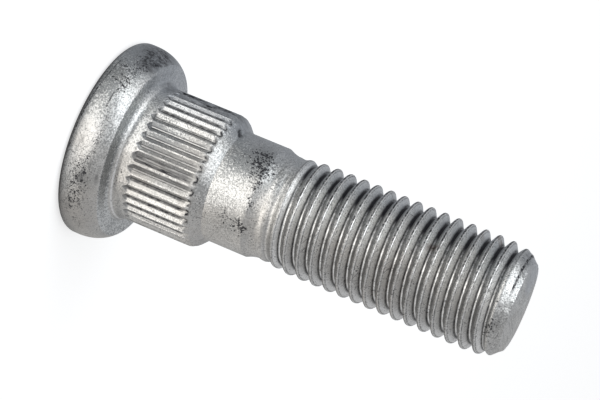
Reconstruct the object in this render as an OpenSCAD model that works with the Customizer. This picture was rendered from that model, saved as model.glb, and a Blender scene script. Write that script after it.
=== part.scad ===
// Press-in wheel stud: a round head, a knurled collar, a plain shank and a rolled metric thread.
// It stands on its head, with the axis along +Z and the tip up. All sizes are in millimetres.

/* [Head] */
// Diameter over the head
head_d = 21.1; // [20:0.1:24]
// Thickness of the head, from its back face to its seat
head_h = 4.3; // [4:0.1:6]
// Diameter of the flat seat under the head
seat_d = 18.8; // [17.5:0.1:19.6]
// Height of the head's rounded rim, from the seat downwards
rim_h = 2.9; // [1:0.1:3.3]
// Radius of the rounding at the edge of the back face
back_edge_r = 0.9; // [0.2:0.1:1.3]

/* [Knurl] */
// Diameter over the teeth
knurl_d = 14.45; // [13.8:0.05:15.5]
// Length of the knurled collar, from the seat to the end of its chamfer
knurl_h = 10.1; // [7:0.1:14]
// Number of teeth around the collar
tooth_count = 40; // [24:1:48]
// Depth of the groove between two teeth
groove_depth = 0.35; // [0.15:0.05:0.6]
// Width of the flat top of a tooth
tooth_top_w = 0.14; // [0.06:0.02:0.7]
// Height above the seat at which the grooves reach their full depth
groove_start_h = 2; // [1.6:0.1:3]
// Length over which a groove fades out towards the head
groove_fade = 0.7; // [0.2:0.1:1]
// Radius of the fillet between the seat and the collar
collar_fillet_r = 1; // [0.3:0.1:1.5]
// Angle of the collar's chamfer to the axis
knurl_chamfer_angle = 46; // [35:1:60]
// Radius of the rounding where the teeth meet that chamfer
knurl_edge_r = 1.2; // [0.2:0.1:2]

/* [Shank] */
// Diameter of the plain shank
shank_d = 11.9; // [11.4:0.1:12.5]
// Length of the plain shank
shank_h = 4.5; // [1:0.1:12]
// Length of the hollow neck between the shank and the thread
neck_h = 1.9; // [1.2:0.1:4]
// Diameter of the rolled blank at the small end of the neck
blank_d = 11; // [10.8:0.05:11.2]

/* [Thread] */
// Outer diameter of the thread
thread_d = 11.9; // [11.8:0.05:12.4]
// Length of the threaded end, from the neck to the tip's end face
thread_h = 26.4; // [12:0.1:60]
// Distance between two turns of the thread
pitch = 1.5; // [1.25:0.05:1.75]
// Angle of a thread flank to a plane across the axis
flank_angle = 30; // [27.5:0.5:32]
// Length over which the crests rise out of the neck
crest_run_in = 4.2; // [2:0.1:6]
// Length over which the roots sink to their full depth
root_run_in = 3; // [1.5:0.1:5]
// Length over which the crests fall towards the tip
lead_h = 4; // [1:0.1:6]
// Height that the crests would have lost at the end face
lead_drop = 0.78; // [0.2:0.02:1]
// Diameter of the end face at the tip
tip_d = 9.35; // [8:0.05:9.8]
// Angle of the tip's chamfer to the axis
tip_chamfer_angle = 36; // [30:1:50]

/* [Hidden] */

$fn = 96;
steel = [0.6, 0.61, 0.61];
// Straight steps in each rounded stretch of the outline
arc_steps = 8;
// Flat sides in one turn of the thread
thread_sides = 32;
// Angles to which the thread and the teeth are turned about the axis
thread_turn = 136;
tooth_turn = -92.5;
// Overlap that buries a hidden end, or carries a cut past the surface
overlap = 1;

head_r = head_d / 2;
seat_r = seat_d / 2;
knurl_r = knurl_d / 2;
shank_r = shank_d / 2;
blank_r = blank_d / 2;
thread_r = thread_d / 2;
tip_r = tip_d / 2;

knurl_top = head_h + knurl_h;
shank_top = knurl_top + shank_h;
neck_top = shank_top + neck_h;
stud_h = neck_top + thread_h;

// Points of a circular or elliptical arc about (x, y), from angle a0 to a1
function arc(x, y, rx, ry, a0, a1) = [
    for (i = [0:arc_steps])
    let (a = a0 + (a1 - a0) * i / arc_steps)
    [x + rx * cos(a), y + ry * sin(a)]
];

// The rim's rounding stops where the rounding of the back edge starts
rim_drop = min(rim_h, head_h - back_edge_r);

// Width of a groove between the tops of two teeth
groove_w = PI * knurl_d / tooth_count - tooth_top_w;

// The rounding of the teeth's ends touches their tops and the chamfer
knurl_chamfer_h = (knurl_r - shank_r) / tan(knurl_chamfer_angle);
knurl_edge_z = knurl_top - knurl_chamfer_h - knurl_edge_r * tan(knurl_chamfer_angle / 2);

// The neck is one hollow arc that runs level with the blank at its small end
neck_drop = shank_r - blank_r;
neck_r = (pow(neck_h, 2) + pow(neck_drop, 2)) / (2 * neck_drop);
neck_arc = asin(neck_h / neck_r);

// One turn of the thread: a crest flat, a flank, a root flat and the other flank
crest_flat = pitch / 8;
root_flat = pitch / 6;
flank_run = (pitch - crest_flat - root_flat) / 2;
thread_depth = flank_run / tan(flank_angle);
root_r = thread_r - thread_depth;
row_rise = [0, crest_flat, crest_flat + flank_run, crest_flat + flank_run + root_flat];
rows_a_turn = len(row_rise);
crest_rows = 2;

// Outline of everything below the thread, from the axis outwards and up
core_outline = concat(
    [[0, 0]],
    arc(head_r - back_edge_r, back_edge_r, back_edge_r, back_edge_r, -90, 0),
    arc(seat_r, head_h - rim_drop, head_r - seat_r, rim_drop, 0, 90),
    arc(knurl_r + collar_fillet_r, head_h + collar_fillet_r, collar_fillet_r, collar_fillet_r, -90, -180),
    arc(knurl_r - knurl_edge_r, knurl_edge_z, knurl_edge_r, knurl_edge_r, 0, knurl_chamfer_angle),
    [[shank_r, knurl_top]],
    arc(blank_r + neck_r, neck_top, neck_r, neck_r, neck_arc - 180, -180),
    [[root_r - overlap, neck_top + overlap], [0, neck_top + overlap]]
);

// Crests begin inside the neck and roots just past it
crest_run_z = neck_top - 1.2;
root_run_z = neck_top + 0.3;
// The blank's flat sides stand just clear of the round blank of the neck
blank_side_r = (blank_r + 0.01) / cos(180 / thread_sides);

// The threaded body starts deep in the neck and runs on past the tip, which cuts it off
body_z = neck_top - overlap - pitch * (1 + thread_turn / 360);
body_turns = ceil((stud_h + overlap - body_z) / pitch);
last_row = body_turns * rows_a_turn;

// A ramp from 0 to 1 between two heights
function ramp(z, z0, z1) = min(max((z - z0) / (z1 - z0), 0), 1);

// Radius of the crests at a height
function crest_at(z) =
    blank_side_r
    + (thread_r - blank_side_r) * ramp(z, crest_run_z, crest_run_z + crest_run_in)
    - lead_drop * pow(ramp(z, stud_h - lead_h, stud_h), 2);

// Radius of the roots at a height
function root_at(z) =
    blank_side_r
    + (root_r - blank_side_r) * ramp(z, root_run_z, root_run_z + root_run_in);

// Point i of row j, where each row is a helix that rises by one pitch in a full turn
function thread_point(j, i) =
    let (
        z = body_z + pitch * (floor(j / rows_a_turn) + i / thread_sides) + row_rise[j % rows_a_turn],
        r = j % rows_a_turn < crest_rows ? crest_at(z) : root_at(z),
        a = 360 * i / thread_sides
    )
    [r * cos(a), r * sin(a), z];

// Where point i of row j stands in the list: a row's end is the start of the row one turn higher
function point_index(j, i) =
    i < thread_sides && j <= last_row ? j * thread_sides + i :
    i == 0 ? (last_row + 1) * thread_sides + j - last_row - 1 :
    point_index(j + rows_a_turn, 0);

module head_to_neck() {
    rotate_extrude() polygon(core_outline);
}

module threaded_body() {
    points = concat(
        [for (j = [0:last_row]) for (i = [0:thread_sides - 1]) thread_point(j, i)],
        [for (j = [1:rows_a_turn]) thread_point(last_row + j, 0)],
        [[0, 0, body_z], [0, 0, body_z + pitch * (body_turns + 1)]]
    );
    foot = len(points) - 2;
    top = len(points) - 1;
    lower_halves = [
        for (j = [0:last_row - 1]) for (i = [0:thread_sides - 1])
        [point_index(j, i), point_index(j + 1, i), point_index(j, i + 1)]
    ];
    upper_halves = [
        for (j = [0:last_row - 1]) for (i = [0:thread_sides - 1])
        [point_index(j + 1, i), point_index(j + 1, i + 1), point_index(j, i + 1)]
    ];
    foot_cap = [
        for (i = [0:thread_sides - 1])
        [foot, point_index(0, i), point_index(0, i + 1)]
    ];
    foot_step = [
        for (j = [0:rows_a_turn - 1])
        [foot, point_index(j + 1, 0), point_index(j, 0)]
    ];
    top_cap = [
        for (i = [0:thread_sides - 1])
        [top, point_index(last_row, i + 1), point_index(last_row, i)]
    ];
    top_step = [
        for (j = [last_row:last_row + rows_a_turn - 1])
        [top, point_index(j, 0), point_index(j + 1, 0)]
    ];
    polyhedron(points, concat(lower_halves, upper_halves, foot_cap, foot_step, top_cap, top_step));
}

// The chamfered tip, as the solid that the threaded body is cut to
module tip_cut() {
    outer_r = thread_r + overlap;
    chamfer_h = (outer_r - tip_r) / tan(tip_chamfer_angle);
    rotate_extrude() polygon([
        [0, body_z - overlap],
        [outer_r, body_z - overlap],
        [outer_r, stud_h - chamfer_h],
        [tip_r, stud_h],
        [0, stud_h]
    ]);
}

// One V groove, with a foot that rises out of the collar
module groove() {
    open_r = knurl_r + overlap;
    open_w = groove_w / 2 * (groove_depth + overlap) / groove_depth;
    full_z = head_h + groove_start_h;
    // The slanting foot runs on into the air outside the teeth, so that it cuts them cleanly
    sections = [[full_z - 2 * groove_fade, 2 * groove_depth], [full_z, 0], [knurl_top, 0]];
    points = [
        for (s = sections) for (corner = [[knurl_r - groove_depth, 0], [open_r, open_w], [open_r, -open_w]])
        [corner[0] + s[1], corner[1], s[0]]
    ];
    polyhedron(points, [
        [2, 1, 0],
        [6, 7, 8],
        for (k = [0, 3]) for (edge = [[0, 1], [1, 2], [2, 0]])
        [k + edge[0], k + edge[1], k + 3 + edge[1], k + 3 + edge[0]]
    ]);
}

module wheel_stud() {
    color(steel) union() {
        difference() {
            head_to_neck();
            for (i = [0:tooth_count - 1]) rotate(tooth_turn + 360 * i / tooth_count) groove();
        }
        intersection() {
            threaded_body();
            tip_cut();
        }
    }
}

wheel_stud();
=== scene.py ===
"""Looks of a press-in wheel stud: one forged, knurled, rolled and zinc-plated piece of steel."""

import logging
import math
from collections.abc import Callable
from dataclasses import dataclass, field
from enum import Enum
from functools import reduce
from operator import add, or_

import bmesh
import bpy
import numpy as np
from mathutils import Matrix, Vector, noise


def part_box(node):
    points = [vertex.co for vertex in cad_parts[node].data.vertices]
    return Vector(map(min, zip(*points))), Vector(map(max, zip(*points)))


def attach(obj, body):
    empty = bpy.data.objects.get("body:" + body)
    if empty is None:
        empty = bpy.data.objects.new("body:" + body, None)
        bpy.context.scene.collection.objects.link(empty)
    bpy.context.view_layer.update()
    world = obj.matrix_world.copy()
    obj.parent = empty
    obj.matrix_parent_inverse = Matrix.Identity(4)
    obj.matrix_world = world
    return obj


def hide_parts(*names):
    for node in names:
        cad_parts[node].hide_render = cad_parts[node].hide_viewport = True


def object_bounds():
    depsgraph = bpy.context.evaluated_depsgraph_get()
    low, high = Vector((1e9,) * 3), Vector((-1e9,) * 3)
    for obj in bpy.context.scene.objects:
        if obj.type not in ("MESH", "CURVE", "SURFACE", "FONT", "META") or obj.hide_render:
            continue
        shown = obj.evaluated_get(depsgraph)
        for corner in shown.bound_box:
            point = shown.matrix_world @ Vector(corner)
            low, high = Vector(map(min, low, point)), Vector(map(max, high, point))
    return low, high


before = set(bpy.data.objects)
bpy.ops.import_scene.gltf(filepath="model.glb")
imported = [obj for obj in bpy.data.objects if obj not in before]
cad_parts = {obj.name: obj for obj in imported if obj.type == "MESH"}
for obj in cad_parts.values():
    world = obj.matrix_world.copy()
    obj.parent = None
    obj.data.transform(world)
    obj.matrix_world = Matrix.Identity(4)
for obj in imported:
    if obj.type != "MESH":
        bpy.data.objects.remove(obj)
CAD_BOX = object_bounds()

LOG = logging.getLogger("wheel_stud")
MM = 0.001
# Columns of faces around the stud: five to each tooth of the knurl
COLUMNS = 200
# Distances in millimetres within which two places count as one: to a size, and to a row of faces
HAIR = 0.001
MARGIN = 0.01
# A hair under the CAD model's own sizes, so that nothing stands out of its box
STUD_HEIGHT = CAD_BOX[1].z / MM - HAIR
HEAD_RADIUS = min(CAD_BOX[1].x, -CAD_BOX[0].x) / MM
# Millimetres that patterns count for one turn around the stud
GIRTH = 36.0


class Hand(Enum):
    """Which way a thread climbs."""

    RIGHT = 1
    LEFT = -1


class Side(Enum):
    """The two ends of the stud, by the way that their flat faces look."""

    HEAD = -1
    TIP = 1


@dataclass(frozen=True)
class Ring:
    """One ring of the turned outline, in millimetres."""

    radius: float
    height: float


def arc(centre: Ring, reach: Ring, start: float, end: float, steps: int) -> list[Ring]:
    """Rings along a circular or elliptical arc.

    Args:
        centre: the arc's centre.
        reach: its half-widths, across the axis and along it.
        start: first angle, in degrees from the outward direction.
        end: last angle.
        steps: number of straight steps.

    Returns:
        One ring for each step's end, without the first.
    """
    angles = [math.radians(start + (end - start) * k / steps) for k in range(1, steps + 1)]
    return [
        Ring(
            centre.radius + reach.radius * math.cos(angle),
            centre.height + reach.height * math.sin(angle),
        )
        for angle in angles
    ]


def line(start: Ring, end: Ring, steps: int) -> list[Ring]:
    """Rings along a straight stretch, without its first point."""
    return [
        Ring(
            start.radius + (end.radius - start.radius) * k / steps,
            start.height + (end.height - start.height) * k / steps,
        )
        for k in range(1, steps + 1)
    ]


def slope(x: np.ndarray, start: float, end: float) -> np.ndarray:
    """An even rise from 0 to 1 between two values of x."""
    return np.clip((x - start) / (end - start), 0.0, 1.0)


def ramp(x: np.ndarray, start: float, end: float) -> np.ndarray:
    """A smooth rise from 0 to 1 between two values of x."""
    t = slope(x, start, end)
    return t * t * (3.0 - 2.0 * t)


def scatter(index: np.ndarray, first: float, second: float, shift: float = 0.0) -> np.ndarray:
    """A number between -1 and 1 for each index, scattered but the same in each run."""
    return np.sin(index * first + shift) * np.cos(index * second)


def lumps(points: np.ndarray, size: float, seed: float) -> np.ndarray:
    """Smooth noise from about -1 to 1 at rows of points, in lumps of a size in millimetres."""
    scaled = points / size + seed
    return np.array([noise.noise(Vector(p)) for p in scaled])


@dataclass
class Places:
    """Where the vertices of a mesh are, in cylinder coordinates and millimetres."""

    radius: np.ndarray
    angle: np.ndarray
    height: np.ndarray

    @classmethod
    def read(cls, mesh: bpy.types.Mesh) -> "Places":
        """Takes the places from a mesh."""
        co = np.empty(len(mesh.vertices) * 3)
        mesh.vertices.foreach_get("co", co)
        x, y, z = co.reshape(-1, 3).T / MM
        return cls(np.hypot(x, y), np.degrees(np.arctan2(y, x)), z)

    def points(self) -> np.ndarray:
        """The places as x, y, z rows."""
        turn = np.radians(self.angle)
        return np.column_stack(
            (self.radius * np.cos(turn), self.radius * np.sin(turn), self.height)
        )

    def front(self) -> np.ndarray:
        """Angles from the stud's front, between -180 and 180 degrees."""
        return (self.angle + 90.0 + 180.0) % 360.0 - 180.0

    def write(self, mesh: bpy.types.Mesh) -> None:
        """Puts the places back into a mesh."""
        mesh.vertices.foreach_set("co", (self.points() * MM).ravel())
        mesh.update()


@dataclass
class ForgedBlank:
    """The headed and turned blank, before knurling and rolling. Sizes are in millimetres."""

    head_radius: float = HEAD_RADIUS
    back_edge: float = 0.9
    back_start: float = -80.0
    seat_radius: float = 9.4
    seat_height: float = 4.3
    seat_edge: Ring = Ring(0.06, 0.02)
    rim_drop: float = 2.9
    rim_reach: float = 2.2
    rim_turn: float = 60.0
    fillet: float = 1.0
    collar_radius: float = 7.225
    groove_foot: float = 6.6
    collar_top: float = 14.4
    collar_edge: float = 1.2
    chamfer_angle: float = 46.0
    shank_radius: float = 5.95
    shank_top: float = 18.9
    neck_top: float = 20.8
    blank_radius: float = 5.5
    row_step: float = 0.0833
    tip_radius: float = 4.675
    tip_height: float = STUD_HEIGHT
    cap_rings: tuple[float, ...] = (0.93, 0.8, 0.6, 0.35, 0.12)
    obj: bpy.types.Object = field(init=False, default=None)

    def head_rings(self) -> list[Ring]:
        """Rings from the back edge over the rim to the foot of the seat's fillet."""
        edge = self.back_edge
        centre = Ring(self.head_radius - edge, edge)
        rings = arc(centre, Ring(edge, edge), self.back_start, 0.0, steps=7)
        rim_foot = Ring(self.head_radius, self.seat_height - self.rim_drop)
        rings += line(rings[-1], rim_foot, steps=2)
        rise = (self.rim_drop - self.seat_edge.height) / math.sin(math.radians(self.rim_turn))
        centre = Ring(self.head_radius - self.rim_reach, rim_foot.height)
        rings += arc(centre, Ring(self.rim_reach, rise), 0.0, self.rim_turn, steps=20)
        seat_edge = Ring(self.seat_radius - self.seat_edge.radius, self.seat_height)
        rings += line(rings[-1], seat_edge, steps=2)
        fillet_foot = Ring(self.collar_radius + self.fillet, self.seat_height)
        return rings + line(seat_edge, fillet_foot, steps=3)

    def collar_rings(self) -> list[Ring]:
        """Rings up the fillet, the collar and its chamfer to the foot of the shank."""
        centre = Ring(self.collar_radius + self.fillet, self.seat_height + self.fillet)
        rings = arc(centre, Ring(self.fillet, self.fillet), -90.0, -180.0, steps=9)
        half = math.radians(self.chamfer_angle / 2)
        fall = (self.collar_radius - self.shank_radius) / math.tan(2 * half)
        edge_height = self.collar_top - fall - self.collar_edge * math.tan(half)
        rings += line(rings[-1], Ring(self.collar_radius, self.groove_foot), steps=14)
        rings += line(rings[-1], Ring(self.collar_radius, edge_height), steps=12)
        reach = Ring(self.collar_edge, self.collar_edge)
        centre = Ring(self.collar_radius - self.collar_edge, edge_height)
        rings += arc(centre, reach, 0.0, self.chamfer_angle, steps=6)
        return rings + line(rings[-1], Ring(self.shank_radius, self.collar_top), steps=8)

    def neck_rings(self) -> list[Ring]:
        """Rings up the shank and the hollow neck, which ends level with the blank."""
        shank_foot = Ring(self.shank_radius, self.collar_top)
        rings = line(shank_foot, Ring(self.shank_radius, self.shank_top), steps=12)
        length, drop = self.neck_top - self.shank_top, self.shank_radius - self.blank_radius
        hollow = (length**2 + drop**2) / (2 * drop)
        start = math.degrees(math.asin(length / hollow)) - 180.0
        centre = Ring(self.blank_radius + hollow, self.neck_top)
        return rings + arc(centre, Ring(hollow, hollow), start, -180.0, steps=14)

    def forge(self) -> bpy.types.Object:
        """Draws the blank up from a disc, ring by ring.

        Returns:
            The mesh object, closed at both ends.
        """
        edge = self.back_edge
        foot = Ring(self.head_radius - edge, 0.0)
        centre = Ring(foot.radius, edge)
        first = arc(centre, Ring(edge, edge), -90.0, self.back_start, steps=1)[0]
        bpy.ops.object.select_all(action="DESELECT")
        bpy.ops.mesh.primitive_cylinder_add(
            vertices=COLUMNS,
            radius=foot.radius * MM,
            depth=first.height * MM,
            location=(0.0, 0.0, first.height * MM / 2),
        )
        self.obj = bpy.context.object
        self.obj.name = "stud"
        bpy.ops.object.transform_apply(location=True, rotation=True, scale=True)
        bpy.ops.object.mode_set(mode="EDIT")
        bpy.ops.mesh.select_mode(type="FACE")
        self.pick_face(Side.TIP)
        self.widen(foot.radius, first)
        last = self.draw_up(first, self.head_rings() + self.collar_rings() + self.neck_rings())
        last = self.draw_up(last, self.thread_rings(last))
        self.draw_up(last, self.cap(last))
        self.pick_face(Side.HEAD)
        self.draw_up(foot, self.cap(foot))
        bpy.ops.mesh.select_all(action="SELECT")
        bpy.ops.mesh.normals_make_consistent(inside=False)
        bpy.ops.object.mode_set(mode="OBJECT")
        return self.obj

    def thread_rings(self, start: Ring) -> list[Ring]:
        """Even rings from the neck to the end face, for the thread to be rolled into."""
        count = round((self.tip_height - start.height) / self.row_step)
        return line(start, Ring(self.blank_radius, self.tip_height), count)

    def cap(self, edge: Ring) -> list[Ring]:
        """Flat rings inside an end face."""
        return [Ring(edge.radius * share, edge.height) for share in self.cap_rings]

    def pick_face(self, side: Side) -> None:
        """Selects the flat face at one end."""
        bpy.ops.mesh.select_all(action="DESELECT")
        work = bmesh.from_edit_mesh(self.obj.data)
        work.faces.ensure_lookup_table()
        end = max(work.faces, key=lambda f: side.value * f.calc_center_median().z)
        end.select_set(True)
        bmesh.update_edit_mesh(self.obj.data)

    def widen(self, radius: float, ring: Ring) -> None:
        """Scales the selected face about the axis, from one radius to a ring's own."""
        share = ring.radius / radius
        bpy.ops.transform.resize(
            value=(share, share, 1.0), center_override=(0.0, 0.0, ring.height * MM)
        )

    def draw_up(self, start: Ring, rings: list[Ring]) -> Ring:
        """Extrudes the selected end face through a list of rings.

        Args:
            start: the ring that the face lies at.
            rings: the rings to pass through.

        Returns:
            The last ring.
        """
        for ring in rings:
            rise = (ring.height - start.height) * MM
            bpy.ops.mesh.extrude_region_move(
                TRANSFORM_OT_translate={"value": (0.0, 0.0, rise)}
            )
            self.widen(start.radius, ring)
            start = ring
        return start


@dataclass
class KnurledCollar:
    """The toothed collar: V-shaped teeth rolled into the blank, in millimetres and degrees.

    The middle one of a groove's five columns of vertices becomes its root, the two beside it
    the root's edges and the outer two the edges of the teeth.
    """

    tooth_count: int = 40
    collar_radius: float = ForgedBlank.collar_radius
    inner_radius: float = 5.9
    groove_depth: float = 0.34
    depth_spread: float = 0.06
    root_edge_depth: float = 0.94
    first_column: float = -91.8
    turned_by: float = -0.7
    root_half_angle: float = 0.5
    crest_half_angle: float = 0.45
    foot_height: float = ForgedBlank.seat_height + ForgedBlank.fillet
    start_height: float = 5.85
    start_spread: float = 0.12
    start_open: float = 0.04
    full_height: float = 6.4
    end_height: float = 14.0
    top_height: float = ForgedBlank.collar_top
    wide_tooth: float = 10.5
    wide_reach: float = 3.0
    crowding: float = 1.4
    crowd_ends: tuple[float, float] = (75.0, 110.0)
    jitter: float = 0.3
    lined_foot: tuple[float, float] = (6.05, 6.35)
    lined_top: tuple[float, float] = (12.5, 12.9)

    def column(self, places: Places) -> tuple[np.ndarray, np.ndarray]:
        """Which groove a vertex is nearest to, and in which of its five columns it stands."""
        pitch = 360.0 / self.tooth_count
        turned = (places.angle - self.first_column) / pitch
        groove = np.round(turned)
        column = np.round((turned - groove) * COLUMNS / self.tooth_count)
        return groove, column

    def toothed(self, places: Places) -> np.ndarray:
        """1 where the teeth stand at their full height, and 0 away from them."""
        return ramp(places.height, *self.lined_foot) * (1.0 - ramp(places.height, *self.lined_top))

    def roll(self, places: Places) -> np.ndarray:
        """Presses the grooves in.

        Args:
            places: the stud's vertices, which are moved.

        Returns:
            How deep each vertex lies in a groove, from 0 to 1.
        """
        groove, column = self.column(places)
        uneven = scatter(groove, 12.9898, 4.1414)
        start = self.start_height + self.start_spread * uneven
        run = self.full_height - self.start_height
        sink = np.clip((places.height - start) / run, 0.0, 1.0)
        zone = places.height > self.foot_height + MARGIN
        zone &= places.height < self.top_height - MARGIN
        zone &= places.radius > self.inner_radius
        shift = self.shift(places, groove, column, start, sink)
        root, near_root = np.abs(column) < 0.5, np.abs(column) < 1.5
        share = np.select([root, near_root], [1.0, self.root_edge_depth], 0.0)
        spread = 1.0 - self.depth_spread / 2 + self.depth_spread * uneven
        floor = self.collar_radius - self.groove_depth * spread * share * sink
        inside = zone & (share > 0.0) & (places.height > start)
        cut = np.where(inside, np.maximum(places.radius - floor, 0.0), 0.0)
        places.radius = places.radius - cut
        places.angle = places.angle + np.where(zone, shift, 0.0)
        return cut / self.groove_depth

    def shift(
        self,
        places: Places,
        groove: np.ndarray,
        column: np.ndarray,
        start: np.ndarray,
        sink: np.ndarray,
    ) -> np.ndarray:
        """How far each vertex moves around the stud, to the edge of its groove or tooth.

        Args:
            places: the stud's vertices.
            groove: the groove that each is nearest to.
            column: its column there, from -2 to 2.
            start: the height at which that groove starts.
            sink: how far the groove has opened at the vertex, from 0 to 1.

        Returns:
            Angles in degrees.
        """
        open_half = 180.0 / self.tooth_count - self.crest_half_angle - self.root_half_angle
        edge = self.root_half_angle + open_half * np.clip(sink + self.start_open, 0.0, 1.0)
        root, near_root = np.abs(column) < 0.5, np.abs(column) < 1.5
        wanted = np.select([root, near_root], [0.0, self.root_half_angle], edge)
        fade = ramp(places.height, self.foot_height, start)
        fade = fade * (1.0 - ramp(places.height, self.end_height, self.top_height))
        shift = np.sign(column) * wanted - column * (360.0 / COLUMNS) + self.turned_by
        shift = shift * fade
        uneven = self.jitter * scatter(groove, 7.233, 2.671, 1.0) * sink
        shift += np.where(near_root, uneven, 0.0) * fade
        front = places.front()
        crowd = self.crowding * np.tanh((front - self.wide_tooth) / self.wide_reach)
        crowd *= 1.0 - ramp(np.abs(front), *self.crowd_ends)
        return shift + crowd * fade


@dataclass
class RolledThread:
    """The rolled thread, with its run-in at the neck and its lead at the tip."""

    hand: Hand = Hand.RIGHT
    pitch: float = 1.5
    crest_radius: float = 5.95
    root_radius: float = 5.0
    flank_angle: float = 30.0
    crest_flat: float = 0.215
    rounding: float = 0.062
    rounding_weights: tuple[float, ...] = (1.0, 2.0, 3.0, 2.0, 1.0)
    front_crest: float = 0.952
    blank_radius: float = ForgedBlank.blank_radius
    neck_top: float = ForgedBlank.neck_top
    crest_run_in: tuple[float, float] = (19.6, 23.8)
    root_run_in: tuple[float, float] = (21.0, 24.1)
    lead_start: float = 43.2
    lead_end: float = ForgedBlank.tip_height
    lead_drop: float = 0.78
    tip_radius: float = ForgedBlank.tip_radius
    tip_angle: float = 36.0
    fill_heights: tuple[float, float] = (44.9, 46.3)
    last_fill: float = 0.72
    dent_foot: float = 45.0
    dent_size: float = 0.75
    dent_seed: float = 3.7
    dent_depth: float = 0.09
    worn_foot: float = 45.9
    worn_far: float = 0.34
    worn_sides: float = 0.2
    worn_half_width: float = 4.4
    worn_most: float = 1.1

    def dents(self, places: Places) -> np.ndarray:
        """How deep the tip's chamfer is dented at each vertex."""
        depth = np.zeros_like(places.height)
        near = np.flatnonzero(places.height > self.dent_foot)
        rough = lumps(places.points()[near], self.dent_size, self.dent_seed)
        depth[near] = self.dent_depth * np.clip(rough, 0.0, 1.0)
        return depth

    def form(self, offset: np.ndarray) -> np.ndarray:
        """Height of the rounded form, from 0 to 1, at distances from the crest's middle."""
        run = (self.crest_radius - self.root_radius) * math.tan(math.radians(self.flank_angle))
        total = np.zeros_like(offset)
        middle = len(self.rounding_weights) // 2
        for k, weight in enumerate(self.rounding_weights):
            shifted = np.abs(offset + (k - middle) * self.rounding / 2)
            shifted = np.minimum(shifted, self.pitch - shifted)
            total += weight * np.clip((self.crest_flat / 2 + run - shifted) / run, 0.0, 1.0)
        return total / sum(self.rounding_weights)

    def roll(self, places: Places) -> None:
        """Rolls the thread into the blank, by moving the stud's vertices."""
        z = places.height
        turns = (z - self.front_crest) / self.pitch - self.hand.value * places.front() / 360.0
        form = self.form(((turns + 0.5) % 1.0 - 0.5) * self.pitch)
        crest_rise = self.crest_radius - self.blank_radius
        crest = self.blank_radius + crest_rise * slope(z, *self.crest_run_in)
        crest -= self.lead_drop * slope(z, self.lead_start, self.lead_end) ** 2
        root_fall = self.root_radius - self.blank_radius
        root = self.blank_radius + root_fall * slope(z, *self.root_run_in)
        root += (crest - root) * self.last_fill * ramp(z, *self.fill_heights)
        rolled = root + (crest - root) * form
        cone = self.tip_radius + (self.lead_end - z) * math.tan(math.radians(self.tip_angle))
        rolled = np.minimum(rolled, cone - self.dents(places))
        walls = places.radius > self.tip_radius - HAIR
        in_neck = walls & (z > self.crest_run_in[0]) & (z <= self.neck_top)
        in_thread = (places.radius > self.blank_radius - MARGIN) & (z > self.neck_top)
        places.radius = np.where(in_neck, np.maximum(places.radius, rolled), places.radius)
        places.radius = np.where(in_thread, rolled, places.radius)
        end_face = (z > self.lead_end - HAIR) & ~in_thread
        narrowed = places.radius * self.tip_radius / self.blank_radius
        places.radius = np.where(end_face, narrowed, places.radius)
        self.batter(places)

    def batter(self, places: Places) -> None:
        """Makes the end face uneven: it falls away at the far side and at both flanks."""
        turn = np.radians(places.front())
        x, y = places.radius * np.sin(turn), -places.radius * np.cos(turn)
        far = np.clip(y / self.tip_radius, 0.0, self.worn_most)
        wide = np.clip(np.abs(x) / self.worn_half_width, 0.0, self.worn_most)
        drop = self.worn_far * far**1.5
        drop += self.worn_sides * wide**2 * np.clip(1.0 - 0.5 * far, 0.0, 1.0)
        places.height = places.height - drop * ramp(places.height, self.worn_foot, self.lead_end)


def forward(kind: str) -> Callable[["Value", "Value | float"], "Value"]:
    """A method for one of Python's operators, with the value itself first."""
    return lambda self, other: self.maths(kind, (self, other))


def reflected(kind: str) -> Callable[["Value", "Value | float"], "Value"]:
    """The same operator's reflected form, with the value itself second."""
    return lambda self, other: self.maths(kind, (other, self))


class Value:
    """A shader value that Python's own operators work on."""

    def __init__(self, tree: bpy.types.NodeTree, socket: bpy.types.NodeSocket) -> None:
        """Keeps the tree and the socket that carries the value."""
        self.tree = tree
        self.socket = socket

    def maths(self, kind: str, inputs: tuple["Value | float", ...], clamp: bool = False) -> "Value":
        """Adds a Math node.

        Args:
            kind: the node's operation.
            inputs: its inputs in order, as values or numbers.
            clamp: whether the result is held between 0 and 1.

        Returns:
            The node's result.
        """
        node = self.tree.nodes.new("ShaderNodeMath")
        node.operation = kind
        node.use_clamp = clamp
        for socket, value in zip(node.inputs, inputs):
            if isinstance(value, Value):
                self.tree.links.new(value.socket, socket)
            else:
                socket.default_value = value
        return Value(self.tree, node.outputs[0])

    def join(self, kind: str, *others: "Value | float") -> "Value":
        """Adds a Math node with this value first."""
        return self.maths(kind, (self, *others))

    __add__, __radd__ = forward("ADD"), reflected("ADD")
    __sub__, __rsub__ = forward("SUBTRACT"), reflected("SUBTRACT")
    __mul__, __rmul__ = forward("MULTIPLY"), reflected("MULTIPLY")
    __truediv__, __rtruediv__ = forward("DIVIDE"), reflected("DIVIDE")
    # Masks are laid over one another by their greater value
    __or__ = forward("MAXIMUM")

    def __abs__(self) -> "Value":
        """The value without its sign."""
        return self.join("ABSOLUTE")

    def hold(self) -> "Value":
        """The value, held between 0 and 1."""
        return self.maths("ADD", (self, 0.0), clamp=True)

    def band(self, low: float, high: float) -> "Value":
        """0 below low, 1 above high, and an even rise between."""
        return ((self - low) * (1.0 / (high - low))).hold()

    def fall(self, low: float, high: float) -> "Value":
        """1 below low, 0 above high, and an even fall between."""
        return 1.0 - self.band(low, high)

    def between(self, start: tuple[float, float], end: tuple[float, float]) -> "Value":
        """A stretch that rises from 0 to 1 over the first two values and falls over the others."""
        return self.band(*start) * self.fall(*end)

    def ridge(self, middle: float, width: float) -> "Value":
        """1 at a middle value, falling evenly to 0 at a distance of width."""
        return (1.0 - abs(self - middle) * (1.0 / width)).hold()


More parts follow.
